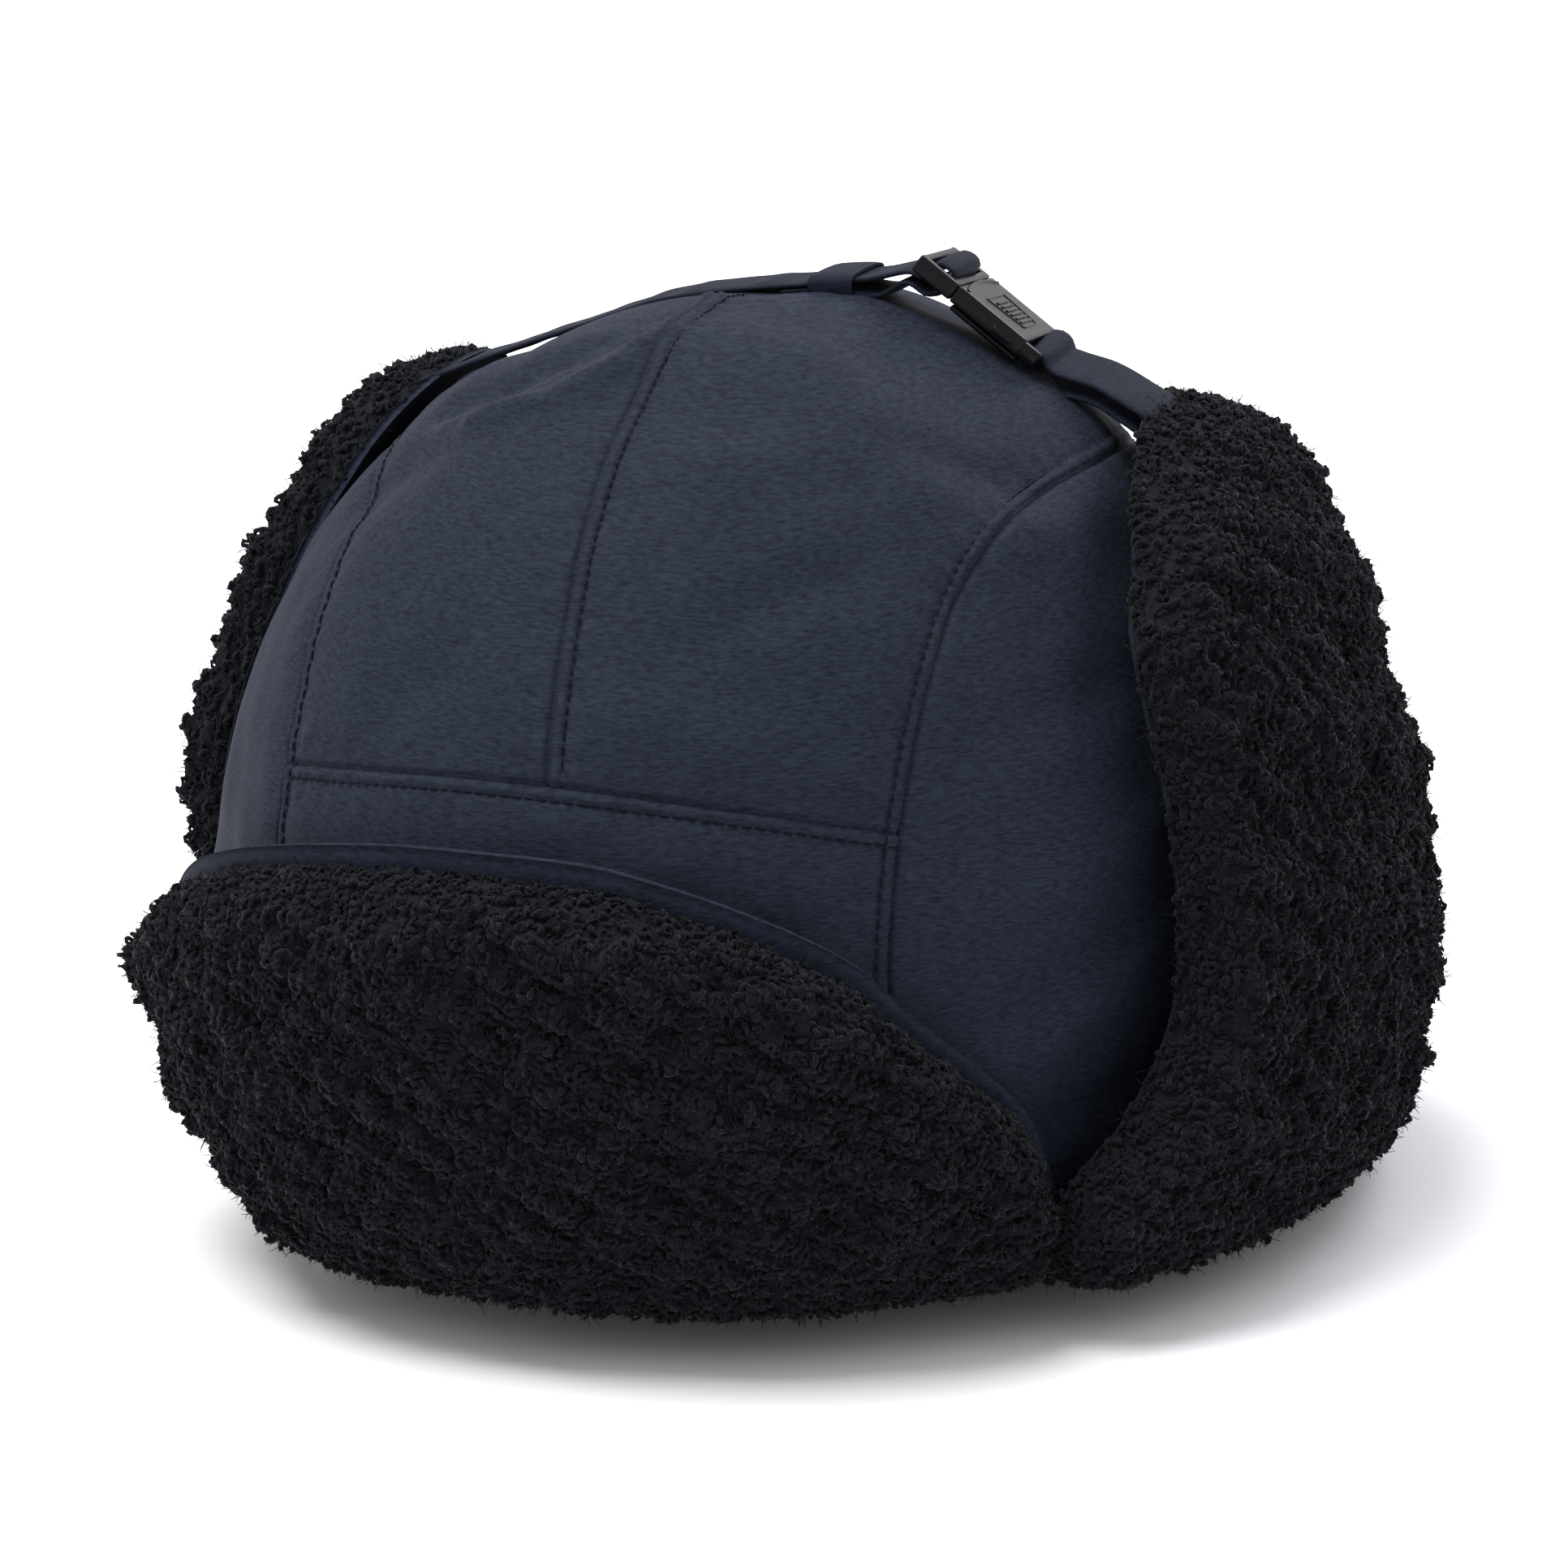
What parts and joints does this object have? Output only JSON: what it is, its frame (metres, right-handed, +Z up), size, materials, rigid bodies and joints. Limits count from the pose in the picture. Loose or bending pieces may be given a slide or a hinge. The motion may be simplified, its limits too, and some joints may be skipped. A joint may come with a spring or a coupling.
{
  "type": "trapper hat",
  "caption": "Padded winter hat with a turned-up pile front flap, folding pile ear and neck flaps, and straps joined over the top by a side-release buckle.",
  "frame": {"origin": "centre of the head opening, in the plane of the crown's hem, which rests on the table", "axes": "+Z up out of the crown, -Y the way the wearer faces, +X the wearer's left"},
  "size_m": [0.2251, 0.2644, 0.1706],
  "materials": {
    "nylon": "matte fine weave",
    "wadding": "soft",
    "lining": "smooth",
    "sweatband": "matte",
    "label": "woven, blank",
    "interlining": "stiff",
    "pile": "curly pile",
    "webbing": "woven",
    "buckle": "satin"
  },
  "bodies": {
    "root": {"front_band": "nylon", "crown_panel_left": "nylon", "crown_panel_right": "nylon", "side_panel_left": "nylon", "side_panel_right": "nylon", "crown_wadding": "wadding", "lining_centre": "lining", "lining_side_left": "lining", "lining_side_right": "lining", "sweatband": "sweatband", "size_label": "label"},
    "front_flap": {"front_flap_facing": "nylon", "front_flap_interlining": "interlining", "front_flap_pile": "pile"},
    "left_ear_flap": {"left_ear_flap_facing": "nylon", "left_ear_flap_pile": "pile"},
    "right_ear_flap": {"right_ear_flap_facing": "nylon", "right_ear_flap_pile": "pile"},
    "neck_flap": {"neck_flap_facing": "nylon", "neck_flap_pile": "pile"},
    "left_strap": {"left_strap": "webbing", "buckle_socket": "buckle"},
    "right_strap": {"right_strap": "webbing"},
    "strap_keeper": {"strap_keeper": "webbing"},
    "buckle_plug": {"buckle_plug": "buckle", "strap_end": "webbing"},
    "latch_front": {"buckle_latch_front": "buckle"},
    "latch_back": {"buckle_latch_back": "buckle"}
  },
  "joints": [
    {"name": "front_flap_fold", "type": "hinge", "parent": "root", "child": "front_flap", "pos_m": [0, -0.1117, 0], "axis": [1, 0, 0], "range_deg": [0, 120]},
    {"name": "left_ear_fold", "type": "hinge", "parent": "root", "child": "left_ear_flap", "pos_m": [0.097, 0, 0], "axis": [0, 1, 0], "range_deg": [0, 180]},
    {"name": "right_ear_fold", "type": "hinge", "parent": "root", "child": "right_ear_flap", "pos_m": [-0.094, 0, 0], "axis": [0, -1, 0], "range_deg": [0, 180]},
    {"name": "neck_flap_fold", "type": "hinge", "parent": "root", "child": "neck_flap", "pos_m": [0, 0.1115, 0], "axis": [-1, 0, 0], "range_deg": [0, 180]},
    {"name": "left_strap_swing", "type": "hinge", "parent": "left_ear_flap", "child": "left_strap", "pos_m": [0.0683, 0.01, 0.1418], "axis": [0, 1, 0], "range_deg": [0, 120]},
    {"name": "right_strap_swing", "type": "hinge", "parent": "right_ear_flap", "child": "right_strap", "pos_m": [-0.0683, 0.01, 0.1413], "axis": [0, -1, 0], "range_deg": [0, 120]},
    {"name": "keeper_slide", "type": "slide", "parent": "right_strap", "child": "strap_keeper", "axis": [-1, 0, 0], "range_m": [0, 0.01]},
    {"name": "buckle_release", "type": "slide", "parent": "right_strap", "child": "buckle_plug", "axis": [-0.809, 0, 0.5878], "range_m": [0, 0.015], "deforming": ["buckle_latch_front", "buckle_latch_back", "right_strap"]},
    {"name": "latch_front_squeeze", "type": "hinge", "parent": "buckle_plug", "child": "latch_front", "pos_m": [0.03618, 0.00268, 0.16224], "axis": [0.5846, 0.1045, 0.8046], "range_deg": [0, 8], "stiffness_Nm_per_rad": 0.005},
    {"name": "latch_back_squeeze", "type": "hinge", "parent": "buckle_plug", "child": "latch_back", "pos_m": [0.03531, 0.0168, 0.16104], "axis": [0.5846, 0.1045, 0.8046], "range_deg": [-8, 0], "stiffness_Nm_per_rad": 0.005}
  ],
  "couplings": [
    {"joint": "latch_back_squeeze", "follows": "latch_front_squeeze", "ratio": -1}
  ]
}
